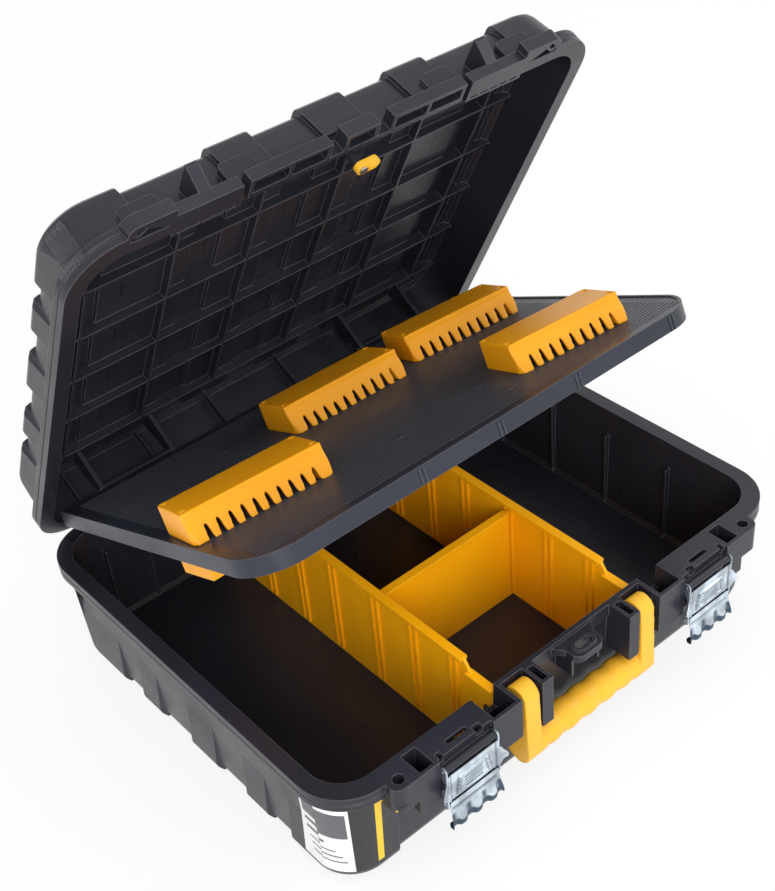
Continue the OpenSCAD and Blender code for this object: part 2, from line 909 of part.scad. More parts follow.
module cross_divider() {
  half = divider_x - divider_thickness / 2 - 0.3;
  color(amber)
    translate([0, front_y + cross_divider_y, 0]) {
      block([-half, -divider_thickness / 2, divider_floor], [half, divider_thickness / 2, divider_top - 6]);
      block([-half + 4, -divider_thickness / 2 - bead, divider_top - 9],
            [half - 4, divider_thickness / 2 + bead, divider_top - 6]);
    }
}

// ---- Handle ----

module handle() {
  color(amber)
    translate([0, handle_y, handle_z])
      difference() {
        union() {
          for (x = [-arm_mid, arm_mid])
            translate([x - arm_width / 2, 0, 0])
              rotate([90, 0, 90])
                linear_extrude(arm_width) {
                  circle(hub_radius);
                  translate([0.4 - hub_radius, -handle_drop])
                    square([hub_radius + 0.6, handle_drop]);
                }
          translate([-grip_half, 0, -handle_drop])
            rotate([0, 90, 0])
              cylinder(h = 2 * grip_half, r = grip_diameter / 2);
        }
        for (i = [-5:5])
          translate([i * 9 - 1, 0, -handle_drop])
            rotate([0, 90, 0])
              difference() {
                cylinder(h = 2, r = grip_diameter / 2 + 2);
                translate([0, 0, -1])
                  cylinder(h = 4, r = grip_diameter / 2 - 0.8);
              }
        for (x = [-arm_mid, arm_mid])
          translate([x - arm_width / 2 - 1, 0, 0])
            rotate([0, 90, 0])
              cylinder(h = arm_width + 2, r = handle_pin_radius + run_fit);
      }
}

module handle_pins() {
  color(steel)
    both_sides()
      translate([post_x[1] - 2.4, handle_y, handle_z])
        rotate([0, 90, 0])
          cylinder(h = pocket_x[0] + wall - post_x[1] + 2.3, r = handle_pin_radius);
}

// ---- Draw latches, modelled about the lower pivot at x = 0 with the link hanging ----

module at_latch(side) {
  translate([side * latch_mid, latch_y, latch_z])
    children();
}

module pin_bar(half, radius) {
  translate([-half, 0, 0])
    rotate([0, 90, 0])
      cylinder(h = 2 * half, r = radius);
}

module latch_base() {
  face = housing_front - latch_y;
  difference() {
    union() {
      block([-base_half, face - 1.4, -24], [base_half, face, 3]);
      pin_bar(base_half, curl_radius);
    }
    pin_bar(base_half + 1, latch_pin_radius + fixed_fit);
    for (x = [-12, 12])
      translate([x, face - 3, -16])
        rotate([-90, 0, 0])
          cylinder(h = 6, r = 2 + fixed_fit);
  }
}

module latch_link() {
  difference() {
    union() {
      block([-cheek_x - 0.1, -plate_in - latch_sheet, -link_length + 6.7], [cheek_x + 0.1, -plate_in, -curl_radius - 0.4]);
      for (x = [-cheek_x - latch_sheet, cheek_x])
        translate([x, 0, 0])
          rotate([90, 0, 90])
            linear_extrude(latch_sheet) {
              circle(cheek_radius);
              translate([0, -link_length])
                circle(cheek_radius);
              translate([-plate_in - latch_sheet, -link_length])
                square([plate_in + latch_sheet + 1.5, link_length]);
            }
      for (z = [-10, -14, -18, -22])
        block([-14, -plate_in - latch_sheet - 0.5, z], [14, -plate_in - latch_sheet + 0.1, z + 1.2]);
    }
    pin_bar(latch_width, latch_pin_radius + run_fit);
    translate([0, 0, -link_length])
      pin_bar(latch_width, latch_pin_radius + fixed_fit);
  }
}

module latch_lever() {
  half = cheek_x - 0.5;
  difference() {
    union() {
      pin_bar(half, curl_radius);
      block([-half, -plate_in - latch_sheet, -22], [half, -plate_in, 0]);
      block([-claw_half, -3, curl_radius - 0.3], [claw_half, claw_reach, curl_radius + 0.9]);
      translate([-half, -plate_in - latch_sheet - 1.6, -22])
        rotate([90, 0, 90])
          linear_extrude(2 * half)
            difference() {
              circle(2.8);
              circle(1.6);
              translate([-4, 0])
                square([4, 4]);
            }
      for (x = [-15, 0, 15])
        translate([x, -plate_in - latch_sheet, -13])
          rotate([90, 0, 0])
            cylinder(h = 1, r = 3.4);
    }
    pin_bar(half + 1, latch_pin_radius + run_fit);
  }
}

module latch_base_left() {
  color(zinc)
    at_latch(-1)
      latch_base();
}

module latch_base_right() {
  color(zinc)
    at_latch(1)
      latch_base();
}

module latch_rivets() {
  face = housing_front - latch_y - 1.4;
  color(zinc)
    for (s = [-1, 1], x = [-12, 12])
      at_latch(s)
        translate([x, face, -16])
          rotate([-90, 0, 0]) {
            cylinder(h = wall + 1.4, r = 2);
            translate([0, 0, -1])
              cylinder(h = 1, r = 3.2);
          }
}

module latch_base_pins() {
  color(steel)
    for (s = [-1, 1])
      at_latch(s)
        pin_bar(cheek_x + latch_sheet + 0.4, latch_pin_radius);
}

module latch_link_left() {
  color(zinc)
    at_latch(-1)
      latch_link();
}

module latch_link_right() {
  color(zinc)
    at_latch(1)
      latch_link();
}

module link_pin() {
  translate([0, 0, -link_length])
    pin_bar(cheek_x + latch_sheet + 0.4, latch_pin_radius);
}

module latch_link_pin_left() {
  color(steel)
    at_latch(-1)
      link_pin();
}

module latch_link_pin_right() {
  color(steel)
    at_latch(1)
      link_pin();
}

module latch_lever_left() {
  color(zinc)
    at_latch(-1)
      translate([0, 0, -link_length])
        latch_lever();
}

module latch_lever_right() {
  color(zinc)
    at_latch(1)
      translate([0, 0, -link_length])
        latch_lever();
}

// ---- Turn-catch that holds the panel up in the lid ----

module turn_catch() {
  color(amber)
    lid_pose()
      translate([catch_pivot[0], catch_pivot[1], catch_top - catch_thick])
        difference() {
          union() {
            translate([(catch_length - catch_width) / 2, 0, 0])
              linear_extrude(catch_thick)
                obround(catch_length, catch_width);
            translate([catch_length - catch_width - 2, 0, -1.2])
              linear_extrude(2)
                obround(8, 5);
          }
          translate([0, 0, -2])
            cylinder(h = catch_thick + 3, r = catch_screw_radius + run_fit);
        }
}

module turn_catch_screw() {
  color(steel)
    lid_pose()
      translate([catch_pivot[0], catch_pivot[1], catch_top - catch_thick - 0.1]) {
        cylinder(h = catch_thick + 10, r = catch_screw_radius);
        translate([0, 0, -catch_head])
          cylinder(h = catch_head, r = 3.4);
      }
}

bottom_shell();
lid_shell();
hinge_pins();
tool_panel();
panel_brackets();
panel_pins();
holder_a();
holder_b();
holder_c();
holder_d();
under_holder_left();
under_holder_right();
holder_screws();
divider_left();
divider_right();
cross_divider();
handle();
handle_pins();
latch_base_left();
latch_base_right();
latch_rivets();
latch_base_pins();
latch_link_left();
latch_link_right();
latch_link_pin_left();
latch_link_pin_right();
latch_lever_left();
latch_lever_right();
turn_catch();
turn_catch_screw();
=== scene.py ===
import math

import bpy
from bpy.props import FloatProperty, FloatVectorProperty, PointerProperty
from mathutils import Matrix, Vector
from mathutils.bvhtree import BVHTree


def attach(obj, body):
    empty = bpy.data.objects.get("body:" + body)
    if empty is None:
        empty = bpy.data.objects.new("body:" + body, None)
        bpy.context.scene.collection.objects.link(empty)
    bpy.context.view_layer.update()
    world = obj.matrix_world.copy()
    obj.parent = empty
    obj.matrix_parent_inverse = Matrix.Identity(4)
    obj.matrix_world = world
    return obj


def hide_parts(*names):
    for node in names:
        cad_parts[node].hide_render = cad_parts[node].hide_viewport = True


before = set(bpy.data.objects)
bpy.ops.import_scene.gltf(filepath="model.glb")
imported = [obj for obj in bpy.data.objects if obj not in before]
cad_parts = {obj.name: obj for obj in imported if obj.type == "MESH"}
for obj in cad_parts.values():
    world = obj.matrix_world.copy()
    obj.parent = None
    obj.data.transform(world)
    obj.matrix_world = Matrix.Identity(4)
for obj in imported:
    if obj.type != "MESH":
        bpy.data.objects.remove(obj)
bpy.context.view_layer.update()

bl_info = {
    "name": "Hard tool case dressing",
    "version": (1, 0, 0),
    "blender": (4, 5, 0),
    "location": "View3D > Sidebar > Tool case",
    "description": "Finishes, moulded detail, fittings and stage for a hard tool case",
    "category": "Object",
}

# Node names by finish
SHELL_NODES = ("bottom_shell", "lid_shell", "panel_brackets")
PANEL_NODES = ("tool_panel",)
HOLDER_NODES = ("holder_a", "holder_b", "holder_c", "holder_d", "under_holder_left", "under_holder_right")
DIVIDER_NODES = ("divider_left", "divider_right", "cross_divider")
HANDLE_NODES = ("handle", "turn_catch")
COATED_NODES = ("latch_base_left", "latch_base_right")
ZINC_NODES = ("latch_rivets", "latch_link_left", "latch_link_right",
              "latch_lever_left", "latch_lever_right")
STEEL_NODES = ("hinge_pins", "panel_pins", "holder_screws", "handle_pins", "latch_base_pins",
               "latch_link_pin_left", "latch_link_pin_right", "turn_catch_screw")


# ---- Material helpers ----

class Nodes:
    """A short way to build the nodes of a material, or of the world. A value given to a node is either a
    number or a colour for its socket, or another node's socket that is linked to it."""

    def __init__(self, name, world=False):
        self.owner = bpy.data.worlds.new(name) if world else bpy.data.materials.new(name)
        self.owner.use_nodes = True
        self.tree = self.owner.node_tree
        self.tree.nodes.clear()
        self.output = self.add("ShaderNodeOutputWorld" if world else "ShaderNodeOutputMaterial")
        self.coords = None if world else self.add("ShaderNodeTexCoord").outputs["Object"]

    def add(self, kind, **inputs):
        node = self.tree.nodes.new(kind)
        for key, value in inputs.items():
            self.set(node.inputs[key], value)
        return node

    def set(self, socket, value):
        if isinstance(value, bpy.types.NodeSocket):
            self.tree.links.new(value, socket)
        else:
            socket.default_value = value

    def noise(self, scale, detail=2.0, roughness=0.5, vector=None):
        return self.add("ShaderNodeTexNoise", Vector=vector or self.coords, Scale=scale, Detail=detail,
                        Roughness=roughness).outputs["Fac"]

    def ramp(self, value, low, high, to_low=0.0, to_high=1.0):
        node = self.add("ShaderNodeMapRange", Value=value)
        for key, number in (("From Min", low), ("From Max", high), ("To Min", to_low), ("To Max", to_high)):
            node.inputs[key].default_value = number
        return node.outputs["Result"]

    def math(self, operation, a, b):
        node = self.add("ShaderNodeMath")
        node.operation = operation
        self.set(node.inputs[0], a)
        self.set(node.inputs[1], b)
        return node.outputs[0]

    def dot(self, a, b):
        node = self.add("ShaderNodeVectorMath")
        node.operation = "DOT_PRODUCT"
        self.set(node.inputs[0], a)
        self.set(node.inputs[1], b)
        return node.outputs["Value"]

    def mix(self, factor, a, b):
        node = self.add("ShaderNodeMix")
        node.data_type = "RGBA"
        self.set(node.inputs["Factor"], factor)
        self.set(node.inputs["A"], a)
        self.set(node.inputs["B"], b)
        return node.outputs["Result"]

    def bevel(self, radius):
        node = self.add("ShaderNodeBevel", Radius=radius)
        node.samples = 4
        return node.outputs["Normal"]

    def bump(self, height, strength, distance, normal=None):
        node = self.add("ShaderNodeBump", Height=height, Strength=strength, Distance=distance)
        if normal is not None:
            self.set(node.inputs["Normal"], normal)
        return node.outputs["Normal"]

    def stretched(self, scale):
        """Object coordinates scaled by three numbers."""
        node = self.add("ShaderNodeMapping", Vector=self.coords)
        node.inputs["Scale"].default_value = scale
        return node.outputs["Vector"]

    def surface(self, shader):
        """Ends the tree in a shader node."""
        self.set(self.output.inputs["Surface"], shader.outputs[0])
        return self.owner

    def finish(self, **inputs):
        return self.surface(self.add("ShaderNodeBsdfPrincipled", **inputs))


def tone(color, factor, lift=0.0):
    """A colour made lighter or darker, as RGBA."""
    return tuple(min(1.0, c * factor + lift) for c in color[:3]) + (1.0,)


def moulded_plastic(name, color, roughness, grain, grain_depth, edge, variation, edge_highlight, subsurface=0.0):
    """Injection-moulded plastic: uneven colour, mould grain, soft edges and a painted highlight along every
    edge.

    The grain is in waves for each metre, its depth and the edge radius are in metres, and variation and
    the strength of the painted edge highlight are shares from 0 to 1."""
    n = Nodes(name)
    cloud = n.ramp(n.noise(scale=9.0, detail=3.0), low=0.35, high=0.65)
    base = n.mix(cloud, tone(color, 1.0 - variation), tone(color, 1.0 + variation))
    scuff = n.ramp(n.noise(scale=55.0, detail=6.0, roughness=0.75), low=0.62, high=0.72)
    base = n.mix(n.math("MULTIPLY", scuff, 0.06), base, tone(color, 1.9))
    rounded = n.bevel(edge)
    flat = n.add("ShaderNodeNewGeometry").outputs["True Normal"]
    # Painted highlight: the colour is lightened wherever the bevel normal turns from the true normal, on
    # every edge
    edge_highlight_mask = n.ramp(n.dot(rounded, flat), low=0.995, high=0.86)
    base = n.mix(n.math("MULTIPLY", edge_highlight_mask, edge_highlight), base, tone(color, 1.5, lift=0.13))
    rough = n.ramp(n.noise(scale=24.0, detail=4.0), 0.3, 0.7, roughness - 0.06, roughness + 0.07)
    speckle = n.noise(grain, detail=2.0, roughness=0.6)
    normal = n.bump(speckle, 0.35, grain_depth, rounded)
    return n.finish(**{"Base Color": base, "Roughness": rough, "Normal": normal, "Specular IOR Level": 0.34,
                       "Subsurface Weight": subsurface, "Subsurface Scale": 0.004})


def plated_metal(name, color, roughness, stroke, pressed=False):
    """Zinc or steel with fine drawn strokes and faint clouding; a pressed sheet gets painted shade, darker in
    its pressed hollows, from values stored on its points.
    """
    n = Nodes(name)
    cloud = n.ramp(n.noise(scale=60.0, detail=3.0), low=0.4, high=0.62)
    base = n.mix(cloud, tone(color, 0.62), tone(color, 1.12))
    if pressed:
        # Painted shade: dark blue-grey where the stored value is low, in hollows, beside raised parts and on
        # the back
        relief = n.add("ShaderNodeAttribute")
        relief.attribute_name = "relief"
        base = n.mix(relief.outputs["Fac"], (0.05, 0.08, 0.12, 1.0), base)
    drawn = n.noise(scale=1.0, detail=3.0, roughness=0.6, vector=n.stretched(stroke))
    rough = n.ramp(drawn, 0.3, 0.7, roughness - 0.08, roughness + 0.1)
    normal = n.bump(drawn, 0.15, 0.0002, n.bevel(0.0004))
    return n.finish(**{"Base Color": base, "Metallic": 0.72 if pressed else 1.0, "Roughness": rough,
                       "Normal": normal})


def printed_paper(name, color):
    """Printed film: even ink with faint mottling and a soft gloss."""
    n = Nodes(name)
    mottle = n.ramp(n.noise(scale=400.0, detail=3.0), low=0.35, high=0.7)
    rough = n.ramp(n.noise(scale=120.0, detail=3.0), 0.3, 0.7, 0.28, 0.4)
    return n.finish(**{"Base Color": n.mix(mottle, tone(color, 0.9), tone(color, 1.06)), "Roughness": rough,
                       "Normal": n.bump(n.noise(scale=700.0), 0.1, 0.0001)})


# ---- Settings ----

class ToolCaseFinish(bpy.types.PropertyGroup):
    shell_color: FloatVectorProperty(
        name="Shell", description="Colour of the moulded shells", subtype="COLOR",
        default=(0.0190, 0.0192, 0.0275), min=0.0, max=1.0)
    panel_color: FloatVectorProperty(
        name="Panel", description="Colour of the tool panel", subtype="COLOR",
        default=(0.0235, 0.0265, 0.0390), min=0.0, max=1.0)
    holder_color: FloatVectorProperty(
        name="Holders", description="Colour of the comb holders", subtype="COLOR",
        default=(0.88, 0.36, 0.004), min=0.0, max=1.0)
    divider_color: FloatVectorProperty(
        name="Dividers", description="Colour of the dividers", subtype="COLOR",
        default=(1.0, 0.43, 0.003), min=0.0, max=1.0)
    handle_color: FloatVectorProperty(
        name="Handle", description="Colour of the handle and catch", subtype="COLOR",
        default=(0.86, 0.45, 0.030), min=0.0, max=1.0)
    stamped_color: FloatVectorProperty(
        name="Stamped zinc", description="Colour of the pressed latch sheet", subtype="COLOR",
        default=(0.62, 0.70, 0.78), min=0.0, max=1.0)
    zinc_color: FloatVectorProperty(
        name="Zinc", description="Colour of the latch plating", subtype="COLOR",
        default=(0.80, 0.84, 0.89), min=0.0, max=1.0)
    steel_color: FloatVectorProperty(
        name="Steel", description="Colour of the pins and screws", subtype="COLOR",
        default=(0.55, 0.56, 0.58), min=0.0, max=1.0)


class ToolCaseStage(bpy.types.PropertyGroup):
    key_power: FloatProperty(name="Key light", description="Power of the soft key light", default=23.0,
                             min=0.0, unit="POWER")
    fill_power: FloatProperty(name="Fill light", description="Power of the soft fill light", default=8.0,
                              min=0.0, unit="POWER")
    surround: FloatProperty(name="Surround", description="Strength of the light from all round", default=1.0,
                            min=0.0, max=2.0)
    lens: FloatProperty(name="Lens", description="Focal length of the camera", default=59.35, min=10.0,
                        unit="CAMERA")


# ---- Finishes: each material's name, its colour setting, its nodes and how it is made ----

PLASTICS = (
    ("shell_plastic", "shell_color", SHELL_NODES,
     dict(roughness=0.30, grain=900.0, grain_depth=0.0004, edge=0.0010, variation=0.18, edge_highlight=0.8)),
    ("panel_plastic", "panel_color", PANEL_NODES,
     dict(roughness=0.33, grain=1200.0, grain_depth=0.0003, edge=0.0008, variation=0.12, edge_highlight=0.8)),
    ("holder_plastic", "holder_color", HOLDER_NODES,
     dict(roughness=0.36, grain=1500.0, grain_depth=0.0002, edge=0.0010, variation=0.06, edge_highlight=0.15,
          subsurface=0.12)),
    ("divider_plastic", "divider_color", DIVIDER_NODES,
     dict(roughness=0.34, grain=1500.0, grain_depth=0.0002, edge=0.0006, variation=0.04, edge_highlight=0.12,
          subsurface=0.10)),
    ("handle_plastic", "handle_color", HANDLE_NODES,
     dict(roughness=0.38, grain=1300.0, grain_depth=0.0003, edge=0.0012, variation=0.05, edge_highlight=0.12,
          subsurface=0.10)),
    ("latch_base_coating", "shell_color", COATED_NODES,
     dict(roughness=0.36, grain=900.0, grain_depth=0.0002, edge=0.0008, variation=0.10, edge_highlight=0.6)),
)
METALS = (
    ("latch_zinc", "zinc_color", ZINC_NODES, dict(roughness=0.24, stroke=(40.0, 40.0, 900.0))),
    ("stamped_zinc", "stamped_color", (), dict(roughness=0.26, stroke=(40.0, 40.0, 900.0), pressed=True)),
    ("pin_steel", "steel_color", STEEL_NODES, dict(roughness=0.30, stroke=(900.0, 40.0, 40.0))),
)


def assign(nodes, material):
    for node in nodes:
        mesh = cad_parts[node].data
        mesh.materials.clear()
        mesh.materials.append(material)


class TOOLCASE_OT_finishes(bpy.types.Operator):
    """Give every solid of the case its moulded or plated finish"""
    bl_idname = "toolcase.finishes"
    bl_label = "Finishes"

    def execute(self, context):
        look = context.scene.tool_case_finish
        for make, finishes in ((moulded_plastic, PLASTICS), (plated_metal, METALS)):
            for name, color, nodes, settings in finishes:
                assign(nodes, make(name, getattr(look, color), **settings))
        return {"FINISHED"}


# ---- Mesh helpers ----

MM = 0.001
LID_ANGLE = math.radians(61.4)
HINGE_Y, HINGE_Z = 198.3, 106.15
HINGE = Vector((0.0, HINGE_Y, HINGE_Z)) * MM


def lid_pose():
    """From the closed lid to the lid as it rests, part open."""
    return Matrix.Translation(HINGE) @ Matrix.Rotation(-LID_ANGLE, 4, "X") @ Matrix.Translation(-HINGE)


def add_piece(name, mesh, body, *materials, replaced=()):
    """Puts a mesh into the scene as one piece that rides on a body."""
    item = bpy.data.objects.new(name, mesh)
    bpy.context.scene.collection.objects.link(item)
    for material in materials:
        mesh.materials.append(material)
    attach(item, body)
    if replaced:
        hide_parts(*replaced)
    return item


def mesh_from(name, points, faces, smooth=True):
    """A new mesh of points in metres and faces."""
    mesh = bpy.data.meshes.new(name)
    mesh.from_pydata([tuple(p) for p in points], [], faces)
    mesh.validate()
    for polygon in mesh.polygons:
        polygon.use_smooth = smooth
    return mesh


def evaluated(name, mesh, *modifiers):
    """The mesh after the given modifiers, each a type and its settings."""
    item = bpy.data.objects.new(name + "_source", mesh)
    bpy.context.scene.collection.objects.link(item)
    for kind, settings in modifiers:
        modifier = item.modifiers.new(kind.lower(), kind)
        for key, value in settings.items():
            setattr(modifier, key, value)
    result = bpy.data.meshes.new_from_object(item.evaluated_get(bpy.context.evaluated_depsgraph_get()))
    result.name = name
    bpy.data.objects.remove(item)
    bpy.data.meshes.remove(mesh)
    return result


def softening(voxel, passes):
    """Modifiers that join crossing solids into one skin of a voxel size in mm, and round its edges."""
    return (("REMESH", {"mode": "VOXEL", "voxel_size": voxel * MM, "use_smooth_shade": True}),
            ("SMOOTH", {"factor": 0.5, "iterations": passes}))


def store_painted_shade(mesh, values):
    """Stores the painted shade of each point, from 0 where it is darkest to 1 where it is unshaded, under the
    name relief, for the material to read.
    """
    layer = mesh.attributes.new("relief", "FLOAT", "POINT")
    for item, value in zip(layer.data, values):
        item.value = value


def grid_faces(columns, rows):
    """The faces of a grid whose points are listed row by row."""
    return [(r * columns + c, r * columns + c + 1, (r + 1) * columns + c + 1, (r + 1) * columns + c)
            for r in range(rows - 1) for c in range(columns - 1)]


def prism(points, faces, outline, low, high):
    """Adds a bar along X whose section is the outline of (y, z) pairs, given anticlockwise seen from +X."""
    start, count = len(points), len(outline)
    points += [(low, y, z) for y, z in outline] + [(high, y, z) for y, z in outline]
    faces.append(tuple(start + i for i in reversed(range(count))))
    faces.append(tuple(start + count + i for i in range(count)))
    for i in range(count):
        j = (i + 1) % count
        faces.append((start + i, start + j, start + count + j, start + count + i))


def arc(middle, radius, first, last, steps):
    """Points of an arc from the first angle to the last, in degrees."""
    return [(middle[0] + radius * math.cos(math.radians(first + (last - first) * i / steps)),
             middle[1] + radius * math.sin(math.radians(first + (last - first) * i / steps)))
            for i in range(steps + 1)]


def between(value, points):
    """Reads a smooth curve given by (position, value) pairs."""
    for (a, p), (b, q) in zip(points, points[1:]):
        if value <= b:
            t = max(0.0, min(1.0, (value - a) / (b - a)))
            return p + (q - p) * t * t * (3 - 2 * t)
    return points[-1][1]


def hump(value, low, high, edge):
    """1 between low and high, falling smoothly to 0 over an edge on either side."""
    return between(value, ((low - edge, 0.0), (low, 1.0))) * between(value, ((high, 1.0), (high + edge, 0.0)))


# ---- Draw latches, in mm from the link's pin or, for a lever, from the pin at the link's end ----

LATCH_X, LATCH_Y, LATCH_Z = 130.0, -211.5, 96.5         # the links' pins in the case, at -x and x
LINK_LENGTH = 35.0                                      # from the link's pin down to the lever's
LATCH_CHEEK, LATCH_SHEET = 24.5, 1.2                    # half the width between the cheeks, and the sheet
LATCH_PLAY = 0.6                                        # kept between a plate and each cheek
PLATE_SETBACK = 3.3                                     # how far a plate stands out from its pin
PLATE_TOP, PLATE_SPAN = 4.0, 25.5                       # the link's plate
FRAME_TOP, FRAME_END, FRAME_EDGE = 11.0, 26.0, 1.8      # the raised frame, clear of the tray's rim when up
FRAME_RAISE, FIELD_SINK, BAR_RAISE = 1.5, 1.2, 0.6
FRAME_BARS, BAR_HEIGHT, BAR_REACH = (13.6, 16.4, 19.2, 22.0), 1.1, 8.0
WING_START = 0.8                                        # share of the half width at which the wings begin
WING_REACH = ((10.0, 0.3), (13.0, 4.2), (20.5, 9.0), (22.0, 9.0), (25.5, 4.2), (29.5, 2.4))
RIDGE_RAISE = ((10.0, 0.4), (13.0, 1.1))                # the fold line in front of each wing
EAR_RADIUS, EAR_BACK = 4.2, -3.9
LEVER_DROP = ((0.0, -2.2), (0.72, 18.0), (0.9, 22.6), (1.0, 22.2))
LEVER_LEAN = ((0.0, 0.0), (0.25, 0.5), (0.62, 2.2), (0.84, 2.4), (1.0, -1.6))
LEVER_HALF = ((-2.2, 23.6), (8.0, 24.0), (22.0, 25.4))
LEVER_REACH = 8.0                                       # the most that the lever stands out from its pin
BUMP_MIDDLES, BUMP_PITCH, BUMP_RAISE = (-15.0, 0.0, 15.0), 15.0, 2.0
GROOVE_REACH, GROOVE_SINK, SCALLOP = 21.0, 1.0, 1.2
CURL_OUTER, CURL_INNER, CURL_FIRST, CURL_LAST = 3.2, 1.7, -170, 130
CLAW, CLAW_HALF = [(-2.8, 3.0), (5.4, 3.0), (5.4, 4.2), (-2.8, 4.2)], 14.0


def frame_half(drop):
    """Half the width of the link's raised frame, which widens downwards."""
    return between(drop, ((6.0, 13.0), (27.0, 16.5)))


def bar_share(x, drop, top, bottom):
    """1 on the four bars in the frame, each read from top to bottom below its upper edge."""
    across = hump(x, -BAR_REACH, BAR_REACH, 1.0)
    return max(hump(drop, bar + top, bar + bottom, 0.6) for bar in FRAME_BARS) * across


def bump_share(x, reach):
    """1 in the middle of a finger bump, falling to 0 at its reach."""
    return max(max(0.0, 1.0 - abs(x - middle) / reach) for middle in BUMP_MIDDLES)


def back_share(y):
    """1 on the side of a plate that faces the case."""
    return 1.0 if y > -PLATE_SETBACK + 0.1 else 0.0


def link_relief(x, drop):
    """How far the link's plate stands out at a place: a raised frame round four short bars."""
    half = frame_half(drop)
    inside = hump(x, -half, half, 1.0) * hump(drop, FRAME_TOP, FRAME_END, 1.0)
    field = hump(x, -half + FRAME_EDGE, half - FRAME_EDGE, 0.8)
    field *= hump(drop, FRAME_TOP + FRAME_EDGE, FRAME_END - FRAME_EDGE, 0.8)
    bars_on = bar_share(x, drop, 0.0, BAR_HEIGHT)
    return FRAME_RAISE * inside - FIELD_SINK * field + BAR_RAISE * bars_on


def link_painted_shade(x, y, z):
    """Painted shade, as a share that is 1 where unshaded: dark beside the raised frame, round the bars, along
    the fold lines and on the side that faces the case.
    """
    drop, half = -z, frame_half(-z)
    edge = max(hump(abs(x), half + 0.6, half + 1.0, 0.9), hump(abs(x), half - 2.8, half - 2.6, 0.7))
    edge *= hump(drop, FRAME_TOP, FRAME_END, 0.6)
    cross = max(hump(drop, 26.8, 27.2, 0.8), hump(drop, 13.4, 13.6, 0.5)) * hump(x, -half, half, 1.0)
    bars_below = bar_share(x, drop, 1.7, 2.1)
    fold = hump(abs(x), 21.6, 22.4, 1.0)
    return 1.0 - min(1.0, max(0.75 * edge, 0.8 * cross, 0.9 * bars_below, 0.6 * fold, 0.7 * back_share(y)))


def lever_relief(x, drop):
    """Three pressed finger bumps and a groove above them."""
    bumps = min(1.0, bump_share(x, 5.2) * 1.8) * between(drop, ((7.0, 0.0), (11.0, 0.75), (17.0, 1.0)))
    groove = hump(drop, 3.6, 4.6, 0.9) * hump(x, -GROOVE_REACH, GROOVE_REACH, 1.0)
    return BUMP_RAISE * bumps - GROOVE_SINK * groove


def lever_painted_shade(x, y, z):
    """Painted shade, as a share that is 1 where unshaded: dark in the groove, between the finger bumps, under
    the foot and on the side that faces the case.
    """
    drop = -z
    groove = hump(drop, 3.4, 4.8, 0.9) * hump(x, -GROOVE_REACH, GROOVE_REACH, 1.0)
    gap = (1.0 - min(1.0, bump_share(x, 7.0) * 2.4)) * hump(drop, 9.5, 19.0, 2.0)
    foot = between(drop - 2.6 * bump_share(x, 4.5), ((14.6, 0.0), (15.8, 1.0)))
    return 1.0 - min(1.0, max(0.85 * groove, 0.95 * gap, foot, 0.7 * back_share(y)))


def stamped_sheet(name, points, columns, rows, thickness):
    """Points and faces of a grid in mm that is given a wall."""
    sheet = evaluated(name + "_sheet", mesh_from(name, points, grid_faces(columns, rows)),
                      ("SOLIDIFY", {"thickness": thickness, "offset": 0.0}))
    points = [tuple(v.co) for v in sheet.vertices]
    faces = [tuple(p.vertices) for p in sheet.polygons]
    bpy.data.meshes.remove(sheet)
    return points, faces


def placed(name, points, faces, pin, painted_shade_at=None):
    """The mesh of points in mm about a pin, set at the pin's place, with its painted shade stored."""
    place = Matrix.Translation(Vector(pin) * MM) @ Matrix.Scale(MM, 4)
    mesh = mesh_from(name, [place @ Vector(p) for p in points], faces)
    if painted_shade_at:
        store_painted_shade(mesh, [painted_shade_at(*p) for p in points])
    return mesh


def link_mesh(name, side):
    """Stamped link: a plate with a raised frame, splayed wings and an ear at each pivot."""
    columns, rows = 75, 52
    points = []
    for r in range(rows):
        drop = PLATE_TOP + PLATE_SPAN * r / (rows - 1)
        wing, ridge = between(drop, WING_REACH), between(drop, RIDGE_RAISE)
        for c in range(columns):
            u = -1 + 2 * c / (columns - 1)
            flat = min(1.0, abs(u) / WING_START)
            splay = max(0.0, abs(u) - WING_START) / (1.0 - WING_START)
            x = math.copysign(flat * (LATCH_CHEEK - LATCH_PLAY) + splay * wing * 0.85, u)
            out = link_relief(x, drop) if splay == 0 else 0.0
            out += ridge * hump(abs(u), 0.775, 0.815, 0.02)
            points.append((x, -PLATE_SETBACK - out - splay * wing * 0.42, -drop))
    points, faces = stamped_sheet(name, points, columns, rows, LATCH_SHEET * 0.8)
    ear = arc((0.0, 0.0), EAR_RADIUS, 0, 180, 10) + [(EAR_BACK, -7.0), (EAR_BACK, -LINK_LENGTH)]
    ear += arc((0.0, -LINK_LENGTH), EAR_RADIUS, 200, 360, 10)
    ear += [(1.4, -LINK_LENGTH + 8), (-1.4, -22.0), (-1.4, -12.0), (1.6, -6.5)]
    for x in (-LATCH_CHEEK - LATCH_SHEET, LATCH_CHEEK):
        prism(points, faces, ear, x, x + LATCH_SHEET)
    return placed(name, points, faces, (side * LATCH_X, LATCH_Y, LATCH_Z), link_painted_shade)


